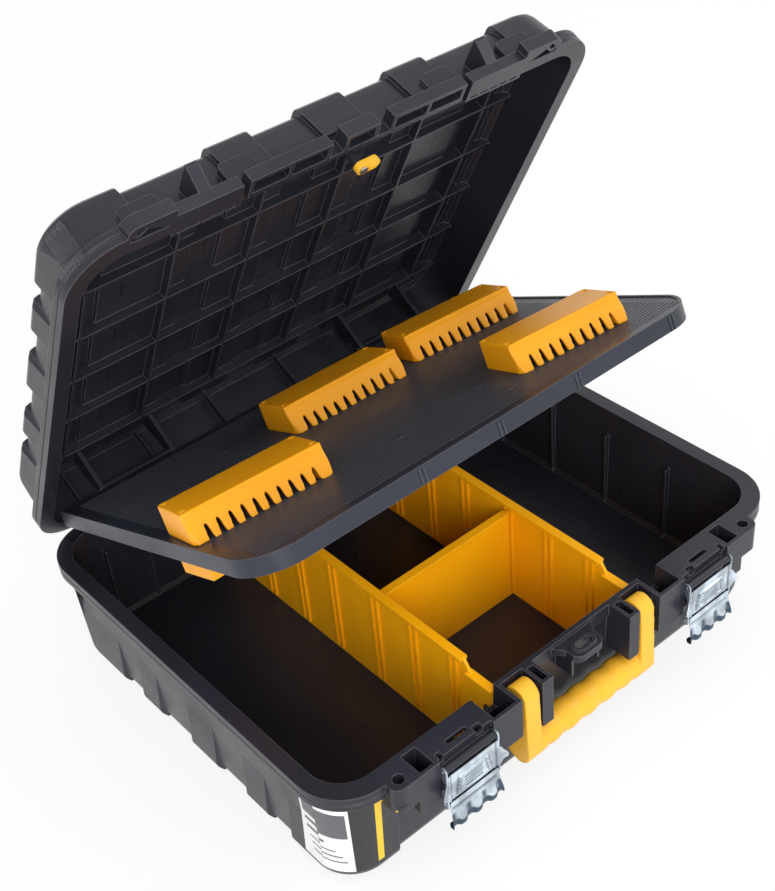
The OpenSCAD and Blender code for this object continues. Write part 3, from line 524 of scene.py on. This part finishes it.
def lever_mesh(name, side):
    """Stamped lever: a grooved plate with three bumps, a scalloped rolled foot, a curl and a claw."""
    columns, rows = 75, 44
    reach = LEVER_REACH - PLATE_SETBACK
    points = []
    for r in range(rows):
        t = r / (rows - 1)
        drop, out = between(t, LEVER_DROP), between(t, LEVER_LEAN)
        for c in range(columns):
            u = -1 + 2 * c / (columns - 1)
            x = u * between(drop, LEVER_HALF)
            scallop = SCALLOP * math.cos(2 * math.pi * x / BUMP_PITCH) * between(t, ((0.6, 0.0), (0.85, 1.0)))
            relief = lever_relief(x, drop) * between(t, ((0.8, 1.0), (0.95, 0.0)))
            lip = 2.0 * between(abs(u), ((0.93, 0.0), (1.0, 1.0))) * between(drop, ((2.0, 0.2), (16.0, 1.0)))
            y = -PLATE_SETBACK - out - min(relief + lip, reach - out)
            points.append((x, y, -drop - scallop))
    points, faces = stamped_sheet(name, points, columns, rows, LATCH_SHEET * 0.7)
    curl = arc((0.0, 0.0), CURL_OUTER, CURL_FIRST, CURL_LAST, 20)
    curl += reversed(arc((0.0, 0.0), CURL_INNER, CURL_FIRST, CURL_LAST, 20))
    prism(points, faces, curl, -LATCH_CHEEK + LATCH_PLAY, LATCH_CHEEK - LATCH_PLAY)
    prism(points, faces, CLAW, -CLAW_HALF, CLAW_HALF)
    return placed(name, points, faces, (side * LATCH_X, LATCH_Y, LATCH_Z - LINK_LENGTH), lever_painted_shade)


class TOOLCASE_OT_latches(bpy.types.Operator):
    """Stand detailed stamped links and levers in for the plain ones"""
    bl_idname = "toolcase.latches"
    bl_label = "Latches"

    def execute(self, context):
        zinc = bpy.data.materials["stamped_zinc"]
        for word, side in (("left", -1), ("right", 1)):
            for part, make in (("link", link_mesh), ("lever", lever_mesh)):
                name = part + "_" + word
                item = add_piece("stamped_" + name, make(name, side), name, zinc, replaced=("latch_" + name,))
                item.data.set_sharp_from_angle(angle=math.radians(40))
        return {"FINISHED"}


# ---- Handle, in mm from its hinge axis ----

HANDLE_Y, HANDLE_Z = -198.0, 95.5
HANDLE_DROP, GRIP_RADIUS, HUB_RADIUS = 55.5, 13.0, 10.4
ARM_MID, ARM_HALF = 63.0, 7.5
GRIP_HALF = ARM_MID + ARM_HALF
WAVE_DEPTH, WAVE_PITCH = 1.3, 20.0
GRIP_END = 1.4          # radius of the rounding at each end of the grip
CLEARANCE = 0.1         # keeps the mesh inside the solid it stands in for


def grip_radius(x):
    """Finger waves over the middle of the grip, and rounded ends."""
    wave = WAVE_DEPTH * (1 - math.cos(2 * math.pi * x / WAVE_PITCH)) / 2
    wave *= between(abs(x), ((46.0, 1.0), (52.0, 0.0)))
    end = max(0.0, abs(x) - (GRIP_HALF - GRIP_END))
    return GRIP_RADIUS - CLEARANCE - wave - GRIP_END + math.sqrt(max(0.0, GRIP_END ** 2 - end ** 2))


def handle_mesh(name):
    """One moulding: a waved grip and two arms that run down over its ends."""
    points, faces = [], []
    around, along = 64, 142
    for i in range(along):
        x = -GRIP_HALF + 2 * GRIP_HALF * i / (along - 1)
        radius = grip_radius(x)
        for k in range(around):
            turn = 2 * math.pi * k / around
            points.append((x, radius * math.cos(turn), -HANDLE_DROP + radius * math.sin(turn)))
    for i in range(along - 1):
        for k in range(around):
            a, b = i * around + k, i * around + (k + 1) % around
            faces.append((a, b, b + around, a + around))
    faces.append(tuple(reversed(range(around))))
    faces.append(tuple(range((along - 1) * around, along * around)))
    arm = arc((0.0, 0.0), HUB_RADIUS, 0, 180, 16)
    arm += arc((0.0, -HANDLE_DROP), GRIP_RADIUS - CLEARANCE, 180, 268, 12) + [(1.0, -HANDLE_DROP)]
    for middle in (-ARM_MID, ARM_MID):
        prism(points, faces, arm, middle - ARM_HALF, middle + ARM_HALF)
    rough = placed(name + "_rough", points, faces, (0, HANDLE_Y, HANDLE_Z))
    return evaluated(name, rough, *softening(voxel=0.8, passes=3))


class TOOLCASE_OT_handle(bpy.types.Operator):
    """Stand a waved handle with soft edges in for the plain one"""
    bl_idname = "toolcase.handle"
    bl_label = "Handle"

    def execute(self, context):
        item = add_piece("waved_handle", handle_mesh("waved_handle"), "handle",
                         bpy.data.materials["handle_plastic"], replaced=("handle",))
        for polygon in item.data.polygons:
            polygon.use_smooth = True
        return {"FINISHED"}


# ---- Comb holders ----

SOFT_HOLDERS = ("holder_a", "holder_b", "holder_c", "holder_d")


class TOOLCASE_OT_holders(bpy.types.Operator):
    """Stand holders with soft moulded edges in for the crisp ones on the panel"""
    bl_idname = "toolcase.holders"
    bl_label = "Holders"

    def execute(self, context):
        for node in SOFT_HOLDERS:
            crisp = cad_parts[node].data.copy()
            mesh = evaluated("soft_" + node, crisp, ("WELD", {"merge_threshold": 0.01 * MM}),
                             *softening(voxel=0.9, passes=10))
            mesh.materials.clear()
            add_piece("soft_" + node, mesh, "panel", bpy.data.materials["holder_plastic"], replaced=(node,))
        return {"FINISHED"}


# ---- Moulded detail and painted slit shade repeated by Geometry Nodes ----

PIVOT_Y, PANEL_TOP, PANEL_REACH = 160.4, 111.0, 329.0
PANEL_PIVOT = Vector((0.0, PIVOT_Y, 109.4)) * MM
PANEL_FRONT = PIVOT_Y - PANEL_REACH
PANEL_ANGLE = math.radians(38.1)
RIB_SIZE, RIB_PITCH, RIB_COUNT, RIB_MARGIN = (416.0, 1.6, 0.5), 5.0, 60, 14.0
CLIP_SIZE, CLIP_PLACES, CLIP_HALF_GAP, CLIP_DROP = (1.1, 1.5, 11.5), (-78.0, -2.0, 78.0, 183.0), 2.0, 7.0
# Size of the dark bars that paint the shade inside the lid's cell slits
SLIT_SHADE_SIZE = (2.0, 16.0, 0.5)
LID_CEILING, PAD_RAISE = 151.8, 3.5
# How far the lid's cross ribs are from its hinge, and the middle of each cell with the raise of its ceiling
LID_ROWS = (51.5, 111.0, 170.0, 229.0, 288.0)
LID_CELLS = ((0.0, PAD_RAISE), (78.0, PAD_RAISE), (154.5, 0.0))


def panel_pose():
    """From the panel level in the closed lid to the panel as it rests."""
    turn = Matrix.Rotation(PANEL_ANGLE, 4, "X")
    return lid_pose() @ Matrix.Translation(PANEL_PIVOT) @ turn @ Matrix.Translation(-PANEL_PIVOT)


def bar_pattern():
    """A node group that stands one bar on each point, with named inputs for its three sizes."""
    group = bpy.data.node_groups.new("bar_pattern", "GeometryNodeTree")
    face = group.interface
    face.new_socket("Geometry", in_out="INPUT", socket_type="NodeSocketGeometry")
    for label in ("Length", "Depth", "Height"):
        face.new_socket(label, in_out="INPUT", socket_type="NodeSocketFloat")
    face.new_socket("Material", in_out="INPUT", socket_type="NodeSocketMaterial")
    face.new_socket("Geometry", in_out="OUTPUT", socket_type="NodeSocketGeometry")
    add, link = group.nodes.new, group.links.new
    start, end = add("NodeGroupInput"), add("NodeGroupOutput")
    size, bar = add("ShaderNodeCombineXYZ"), add("GeometryNodeMeshCube")
    place, real = add("GeometryNodeInstanceOnPoints"), add("GeometryNodeRealizeInstances")
    paint = add("GeometryNodeSetMaterial")
    for axis, label in zip("XYZ", ("Length", "Depth", "Height")):
        link(start.outputs[label], size.inputs[axis])
    link(size.outputs[0], bar.inputs["Size"])
    link(start.outputs["Geometry"], place.inputs["Points"])
    link(bar.outputs["Mesh"], place.inputs["Instance"])
    link(place.outputs["Instances"], real.inputs["Geometry"])
    link(real.outputs["Geometry"], paint.inputs["Geometry"])
    link(start.outputs["Material"], paint.inputs["Material"])
    link(paint.outputs["Geometry"], end.inputs[0])
    return group


def bars(name, places, size, body, material, pose):
    """Bars of one size at places in mm, made by the bar pattern and moved by a pose."""
    group = bpy.data.node_groups.get("bar_pattern") or bar_pattern()
    points = bpy.data.meshes.new(name + "_points")
    points.from_pydata([tuple(c * MM for c in p) for p in places], [], [])
    item = bpy.data.objects.new(name + "_source", points)
    bpy.context.scene.collection.objects.link(item)
    modifier = item.modifiers.new("pattern", "NODES")
    modifier.node_group = group
    inputs = [socket for socket in group.interface.items_tree if socket.in_out == "INPUT"]
    keys = {socket.name: socket.identifier for socket in inputs}
    for label, value in zip(("Length", "Depth", "Height"), size):
        modifier[keys[label]] = value * MM
    modifier[keys["Material"]] = material
    mesh = bpy.data.meshes.new_from_object(item.evaluated_get(bpy.context.evaluated_depsgraph_get()))
    mesh.name = name
    bpy.data.objects.remove(item)
    bpy.data.meshes.remove(points)
    mesh.transform(pose)
    return add_piece(name, mesh, body)


class TOOLCASE_OT_moulded_detail(bpy.types.Operator):
    """Repeat the small ribs of the panel, thin dark bars of painted shade for the slits of the lid's cells
    and the clip marks of the skirt
    """
    bl_idname = "toolcase.moulded_detail"
    bl_label = "Moulded detail"

    def execute(self, context):
        panel, slit_shade = bpy.data.materials["panel_plastic"], bpy.data.materials["label_dark"]
        ribs = [(0.0, PANEL_FRONT + RIB_MARGIN + RIB_PITCH * k, PANEL_TOP + 0.1) for k in range(RIB_COUNT)]
        bars("panel_ribs", ribs, RIB_SIZE, "panel", panel, panel_pose())
        clips = [(x + dx, PANEL_FRONT - 0.05, PANEL_TOP - CLIP_DROP) for x in CLIP_PLACES
                 for dx in (-CLIP_HALF_GAP, CLIP_HALF_GAP)]
        bars("skirt_clips", clips, CLIP_SIZE, "panel", panel, panel_pose())
        # Painted shade: thin near-black bars stand for the shade inside the slits of the lid's cells
        slit_shade_places = []
        for low, high in zip(LID_ROWS, LID_ROWS[1:]):
            for x, raised in LID_CELLS:
                for side in (-1, 1) if x else (1,):
                    slit_shade_places.append((side * x, HINGE_Y - (low + high) / 2, LID_CEILING + raised))
        bars("cell_slits", slit_shade_places, SLIT_SHADE_SIZE, "lid", slit_shade, lid_pose())
        return {"FINISHED"}


# ---- Wrapped corners: the label and the knurled grip patch ----

CORNER = (-195.0, -150.0)       # middle of the shells' front left rounding
OVERHANG = 0.6                  # mm along a flat side for each degree past the rounding
RAY_START = 80.0                # how far out, in mm, the rays that find the shell start
LABEL_ANGLES, LABEL_LEVELS, LABEL_LIFT = (-24.0, 104.0), (9.0, 88.0), 0.25
KNURL_ANGLES, KNURL_LEVELS, KNURL_LIFT, KNURL_DEPTH = (27.0, 56.0), (112.0, 152.0), 0.15, 0.9


def wrapped(node, pose, angles, levels, columns, rows, lift, relief=None):
    """A sheet laid on a shell's front left corner, as a grid over an angle and a level in mm. It runs on
    along the side below 0 degrees and along the front above 90."""
    depsgraph = bpy.context.evaluated_depsgraph_get()
    tree = BVHTree.FromObject(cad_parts[node], depsgraph)
    points = []
    for r in range(rows):
        level = levels[0] + (levels[1] - levels[0]) * r / (rows - 1)
        for c in range(columns):
            station = angles[0] + (angles[1] - angles[0]) * c / (columns - 1)
            angle = math.radians(max(0.0, min(90.0, station)))
            out = Vector((-math.cos(angle), -math.sin(angle), 0))
            along = Vector((max(0.0, station - 90.0), max(0.0, -station), 0)) * OVERHANG
            start = pose @ ((Vector((*CORNER, level)) + along + out * RAY_START) * MM)
            way = (pose.to_3x3() @ -out).normalized()
            hit = tree.ray_cast(start, way)[0]
            if hit is None:
                raise RuntimeError("a wrapped sheet misses its shell")
            raised = lift + (relief(c, r) if relief else 0.0)
            points.append(hit - way * raised * MM)
    return points


# The dark ink is also used as the painted shade of the slits in the lid's cells
LABEL_INKS = (("label_white", (0.80, 0.80, 0.82)), ("label_dark", (0.012, 0.012, 0.014)),
              ("label_grey", (0.10, 0.10, 0.11)), ("label_yellow", (0.86, 0.55, 0.01)))
# Fields of the label: left, right, low and high as shares of its width and height, and the ink's index
LABEL_FIELDS = ((0.00, 1.00, 0.00, 1.00, 1), (0.01, 0.60, 0.01, 0.99, 0), (0.04, 0.24, 0.60, 0.95, 2),
                (0.28, 0.57, 0.52, 0.88, 2), (0.06, 0.30, 0.50, 0.54, 2), (0.08, 0.34, 0.40, 0.43, 2),
                (0.12, 0.44, 0.30, 0.32, 2), (0.14, 0.50, 0.22, 0.24, 2), (0.16, 0.54, 0.14, 0.16, 2),
                (0.83, 0.895, 0.04, 0.96, 3))


class TOOLCASE_OT_corner_trims(bpy.types.Operator):
    """Lay a plain generic label on the tray's corner and a knurled grip patch on the lid's"""
    bl_idname = "toolcase.corner_trims"
    bl_label = "Corner label and grip patch"

    def execute(self, context):
        columns, rows = 101, 51
        points = wrapped("bottom_shell", Matrix.Identity(4), LABEL_ANGLES, LABEL_LEVELS, columns, rows,
                         LABEL_LIFT)
        mesh = mesh_from("label", points, grid_faces(columns, rows))
        add_piece("corner_label", mesh, "case", *[printed_paper(*ink) for ink in LABEL_INKS])
        for polygon in mesh.polygons:
            column, row = polygon.index % (columns - 1), polygon.index // (columns - 1)
            u, v = (column + 0.5) / (columns - 1), (row + 0.5) / (rows - 1)
            for left, right, low, high, index in LABEL_FIELDS:
                if left <= u <= right and low <= v <= high:
                    polygon.material_index = index

        columns, rows = 17, 29
        points = wrapped("lid_shell", lid_pose(), KNURL_ANGLES, KNURL_LEVELS, columns, rows, KNURL_LIFT,
                         lambda c, r: KNURL_DEPTH if (c + r) % 2 else 0.0)
        mesh = mesh_from("knurl", points, grid_faces(columns, rows), smooth=False)
        add_piece("corner_knurl", mesh, "lid", bpy.data.materials["shell_plastic"])
        return {"FINISHED"}


# ---- Stage ----

CAMERA_PLACE = (-0.57794, -0.73378, 0.90336)
CAMERA_AZIMUTH, CAMERA_ELEVATION, CAMERA_ROLL = (math.radians(a) for a in (-37.5946, 37.5396, -5.5607))
SENSOR_WIDTH = 36.0
LIGHT_TARGET = (0.0, 0.0, 0.15)
KEY_PLACE, KEY_SIZE = (-1.0, -1.75, 1.15), 1.3
FILL_PLACE, FILL_SIZE = (1.6, -0.9, 1.2), 1.4
FLOOR_HALF, FLOOR_LEVEL, FLOOR_GLOW = 6.0, -0.0005, 0.8
WHITE = (1.0, 1.0, 1.0, 1.0)


def camera_matrix():
    """Where the camera stands, from its place, azimuth, elevation and roll."""
    back = Vector((math.sin(CAMERA_AZIMUTH) * math.cos(CAMERA_ELEVATION),
                   -math.cos(CAMERA_AZIMUTH) * math.cos(CAMERA_ELEVATION), math.sin(CAMERA_ELEVATION)))
    right = (-back).cross(Vector((0, 0, 1))).normalized()
    up = right.cross(-back)
    c, s = math.cos(CAMERA_ROLL), math.sin(CAMERA_ROLL)
    axes = Matrix((c * right + s * up, -s * right + c * up, back)).transposed().to_4x4()
    return Matrix.Translation(CAMERA_PLACE) @ axes


def area_light(name, place, size, power):
    """A soft round lamp that looks at the case."""
    light = bpy.data.lights.new(name, "AREA")
    light.shape = "DISK"
    light.size = size
    light.energy = power
    item = bpy.data.objects.new(name, light)
    item.location = place
    item.rotation_euler = (Vector(LIGHT_TARGET) - Vector(place)).to_track_quat("-Z", "Y").to_euler()
    bpy.context.scene.collection.objects.link(item)


def background_ray(n):
    """1 for what the camera, a mirror or clear plastic sees directly."""
    path = n.add("ShaderNodeLightPath")
    seen = n.math("MAXIMUM", path.outputs["Is Camera Ray"], path.outputs["Is Glossy Ray"])
    return n.math("MAXIMUM", seen, path.outputs["Is Transmission Ray"])


def blend(n, factor, first, second):
    """Mixes two shaders."""
    node = n.add("ShaderNodeMixShader", Fac=factor)
    n.set(node.inputs[1], first.outputs[0])
    n.set(node.inputs[2], second.outputs[0])
    return node


class TOOLCASE_OT_stage(bpy.types.Operator):
    """Set the camera, the soft lights, the pale floor and the surround"""
    bl_idname = "toolcase.stage"
    bl_label = "Stage"

    def execute(self, context):
        scene = context.scene
        look = scene.tool_case_stage
        data = bpy.data.cameras.new("camera")
        data.lens = look.lens
        data.sensor_width = SENSOR_WIDTH
        data.clip_start = 0.05
        camera = bpy.data.objects.new("camera", data)
        camera.matrix_world = camera_matrix()
        scene.collection.objects.link(camera)
        scene.camera = camera
        scene.view_settings.view_transform = "Standard"

        area_light("key", KEY_PLACE, KEY_SIZE, look.key_power)
        area_light("fill", FILL_PLACE, FILL_SIZE, look.fill_power)

        n = Nodes("surround", world=True)
        soft = n.add("ShaderNodeBackground", Color=WHITE, Strength=look.surround)
        white = n.add("ShaderNodeBackground", Color=WHITE, Strength=1.0)
        scene.world = n.surface(blend(n, background_ray(n), soft, white))

        n = Nodes("floor_paper")
        paper = n.add("ShaderNodeBsdfDiffuse", Color=(0.88, 0.88, 0.88, 1.0))
        glow = n.add("ShaderNodeEmission", Color=WHITE, Strength=1.0)
        n.surface(blend(n, n.math("MULTIPLY", background_ray(n), FLOOR_GLOW), paper, glow))
        mesh = bpy.data.meshes.new("floor")
        corners = [(x * FLOOR_HALF, y * FLOOR_HALF, FLOOR_LEVEL)
                   for x, y in ((-1, -1), (1, -1), (1, 1), (-1, 1))]
        mesh.from_pydata(corners, [], [(0, 1, 2, 3)])
        mesh.materials.append(n.owner)
        floor = bpy.data.objects.new("floor", mesh)
        scene.collection.objects.link(floor)
        return {"FINISHED"}


class TOOLCASE_PT_sidebar(bpy.types.Panel):
    bl_label = "Tool case"
    bl_idname = "TOOLCASE_PT_sidebar"
    bl_space_type = "VIEW_3D"
    bl_region_type = "UI"
    bl_category = "Tool case"

    def draw(self, context):
        column = self.layout.column()
        for operator in OPERATORS:
            column.operator(operator.bl_idname)
        for group in (context.scene.tool_case_finish, context.scene.tool_case_stage):
            for key in group.__annotations__:
                column.prop(group, key)


GROUPS = (("tool_case_finish", ToolCaseFinish), ("tool_case_stage", ToolCaseStage))
OPERATORS = (TOOLCASE_OT_stage, TOOLCASE_OT_finishes, TOOLCASE_OT_latches, TOOLCASE_OT_handle,
             TOOLCASE_OT_holders, TOOLCASE_OT_corner_trims, TOOLCASE_OT_moulded_detail)


def register():
    for name, group in GROUPS:
        bpy.utils.register_class(group)
        setattr(bpy.types.Scene, name, PointerProperty(type=group))
    for operator in OPERATORS:
        bpy.utils.register_class(operator)
    bpy.utils.register_class(TOOLCASE_PT_sidebar)


def unregister():
    bpy.utils.unregister_class(TOOLCASE_PT_sidebar)
    for operator in reversed(OPERATORS):
        bpy.utils.unregister_class(operator)
    for name, group in reversed(GROUPS):
        delattr(bpy.types.Scene, name)
        bpy.utils.unregister_class(group)


def main():
    register()
    bpy.ops.toolcase.stage()
    bpy.ops.toolcase.finishes()
    bpy.ops.toolcase.latches()
    bpy.ops.toolcase.handle()
    bpy.ops.toolcase.holders()
    bpy.ops.toolcase.corner_trims()
    bpy.ops.toolcase.moulded_detail()


if __name__ == "__main__":
    main()
